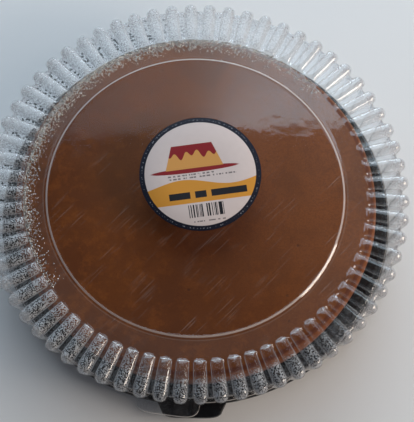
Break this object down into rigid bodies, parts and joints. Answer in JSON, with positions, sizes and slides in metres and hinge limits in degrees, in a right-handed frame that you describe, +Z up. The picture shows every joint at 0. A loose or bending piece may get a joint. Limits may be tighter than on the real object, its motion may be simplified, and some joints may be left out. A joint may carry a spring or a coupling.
{
  "type": "creme caramel flan in a lidded pack",
  "caption": "Round creme caramel flan on a shallow black tray under a clear lid with a fluted edge, lift tabs and a plain round label.",
  "frame": {"origin": "centre of the tray's flat underside, on the pack's axis", "axes": "+Z up along the pack's axis, -Y towards the lift tabs, +X to the right with the tabs in front"},
  "size_m": [0.263, 0.2628, 0.0526],
  "materials": {
    "tray": "glossy black thermoformed sheet",
    "flan": "moist brown baked custard with caramel on top",
    "lid": "clear thin plastic with condensation",
    "label": "satin printed paper"
  },
  "bodies": {
    "root": {"tray": "tray", "flan": "flan", "lid": "lid", "label": "label"}
  },
  "joints": []
}
